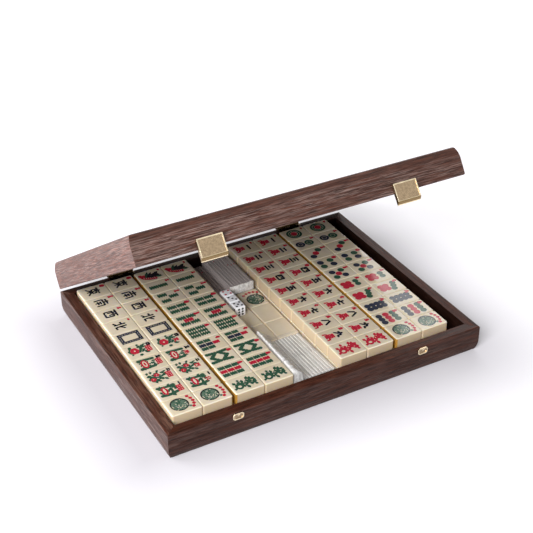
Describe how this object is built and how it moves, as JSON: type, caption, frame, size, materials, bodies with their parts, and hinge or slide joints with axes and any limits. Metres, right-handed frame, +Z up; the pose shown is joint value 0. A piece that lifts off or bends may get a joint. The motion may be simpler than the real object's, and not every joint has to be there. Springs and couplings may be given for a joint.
{
  "type": "mahjong case",
  "caption": "Shallow wooden clamshell case with drawn-in sides, hinged lid and drop latches, packed with tiles, dice and sticks.",
  "frame": {"origin": "middle of the flat underside of the base, on the surface it rests on", "axes": "+Z up, +X to the right along the hinge line, front of the case with the latches faces -Y"},
  "size_m": [0.336, 0.2748, 0.1961],
  "materials": {
    "walnut": "satin lacquered dark walnut",
    "walnut_panel": "satin lacquered walnut veneer on plywood",
    "hinge_brass": "polished brass",
    "latch_brass": "brushed brass with bright edges",
    "ivory_tile": "polished ivory-coloured melamine with coloured engraving",
    "dice_white": "glossy white with painted pips",
    "stick_white": "glossy white plastic",
    "clear_film": "clear wrapping film"
  },
  "bodies": {
    "base": {"base_front_wall": "walnut", "base_back_wall": "walnut", "base_left_wall": "walnut", "base_right_wall": "walnut", "base_floor_panel": "walnut_panel", "hinge_left_base_leaf": "hinge_brass", "hinge_right_base_leaf": "hinge_brass", "hinge_left_pin": "hinge_brass", "hinge_right_pin": "hinge_brass", "base_hinge_screws": "hinge_brass", "catch_left_plate": "latch_brass", "catch_right_plate": "latch_brass", "tiles_block_1_upper": "ivory_tile", "tiles_block_1_lower": "ivory_tile", "tiles_block_2_upper": "ivory_tile", "tiles_block_2_lower": "ivory_tile", "tiles_block_3_upper": "ivory_tile", "tiles_block_3_lower": "ivory_tile", "tiles_block_4_upper": "ivory_tile", "tiles_block_4_lower": "ivory_tile", "centre_tiles": "ivory_tile", "dice": "dice_white", "front_sticks": "stick_white", "back_sticks": "stick_white", "front_stick_film": "clear_film", "back_stick_film": "clear_film"},
    "lid": {"lid_front_wall": "walnut", "lid_back_wall": "walnut", "lid_left_wall": "walnut", "lid_right_wall": "walnut", "lid_top_panel": "walnut_panel", "hinge_left_lid_leaf": "hinge_brass", "hinge_right_lid_leaf": "hinge_brass", "lid_hinge_screws": "hinge_brass", "latch_left_bracket": "latch_brass", "latch_right_bracket": "latch_brass", "latch_left_pin": "latch_brass", "latch_right_pin": "latch_brass", "latch_screws": "latch_brass"},
    "latch_left": {"latch_left_flap": "latch_brass"},
    "latch_right": {"latch_right_flap": "latch_brass"}
  },
  "joints": [
    {"name": "lid_hinge", "type": "hinge", "parent": "base", "child": "lid", "pos_m": [0, 0.13255, 0.02815], "axis": [-1, 0, 0], "range_deg": [-34, 146]},
    {"name": "latch_left_pivot", "type": "hinge", "parent": "lid", "child": "latch_left", "pos_m": [-0.0995, -0.08158, 0.18253], "axis": [-1, 0, 0], "range_deg": [-4, 86]},
    {"name": "latch_right_pivot", "type": "hinge", "parent": "lid", "child": "latch_right", "pos_m": [0.0995, -0.08158, 0.18253], "axis": [-1, 0, 0], "range_deg": [-4, 86]}
  ]
}
